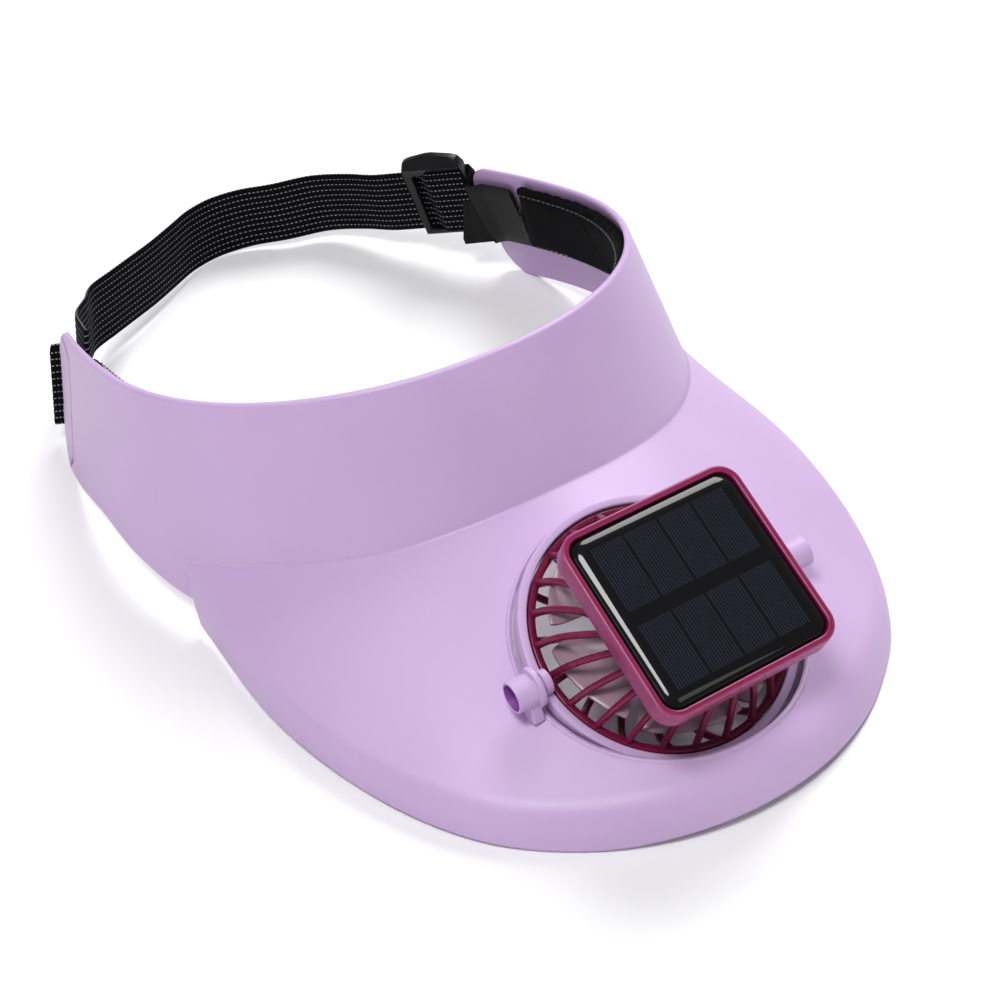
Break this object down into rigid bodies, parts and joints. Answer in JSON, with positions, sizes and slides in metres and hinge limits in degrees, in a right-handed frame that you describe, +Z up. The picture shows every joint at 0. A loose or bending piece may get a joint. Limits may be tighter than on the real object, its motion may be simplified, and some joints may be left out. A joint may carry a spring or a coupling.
{
  "type": "solar fan hat",
  "caption": "Open-backed sun visor with a tilting fan cage set in its brim, a solar panel on the fan, and an elastic rear strap with a slide buckle.",
  "frame": {"origin": "centre of the footprint, on the surface that the hat rests on", "axes": "+Z up, -Y towards the front of the brim, X from side to side"},
  "size_m": [0.1886, 0.3352, 0.0799],
  "materials": {
    "lilac_plastic": "satin moulded",
    "burgundy_plastic": "gloss moulded",
    "mauve_plastic": "smoked moulded",
    "motor_steel": "drawn",
    "solar_cells": "gloss resin over cells",
    "black_plastic": "satin moulded",
    "black_foam": "brushed cloth over foam",
    "black_elastic": "knitted elastic",
    "black_flap": "smooth coated tape"
  },
  "bodies": {
    "root": {"crown_band": "lilac_plastic", "brim": "lilac_plastic", "pivot_sleeve_left": "lilac_plastic", "pivot_sleeve_right": "lilac_plastic", "sweat_pad": "black_foam", "elastic_strap": "black_elastic", "strap_loop_left": "black_elastic", "strap_flap_right": "black_flap", "slide_buckle": "black_plastic"},
    "fan_pod": {"pod_ring": "lilac_plastic", "fan_cage_upper": "burgundy_plastic", "fan_cage_lower": "burgundy_plastic", "motor": "motor_steel", "panel_frame": "burgundy_plastic", "solar_tile": "solar_cells"},
    "fan_wheel": {"impeller": "mauve_plastic"}
  },
  "joints": [
    {"name": "pod_tilt", "type": "hinge", "parent": "root", "child": "fan_pod", "pos_m": [0, -0.11962, 0.02983], "axis": [1, 0, 0], "range_deg": [-45, 10]},
    {"name": "fan_spin", "type": "hinge", "parent": "fan_pod", "child": "fan_wheel", "pos_m": [0, -0.11962, 0.02983], "axis": [0, -0.4829, 0.8757], "continuous": true}
  ]
}
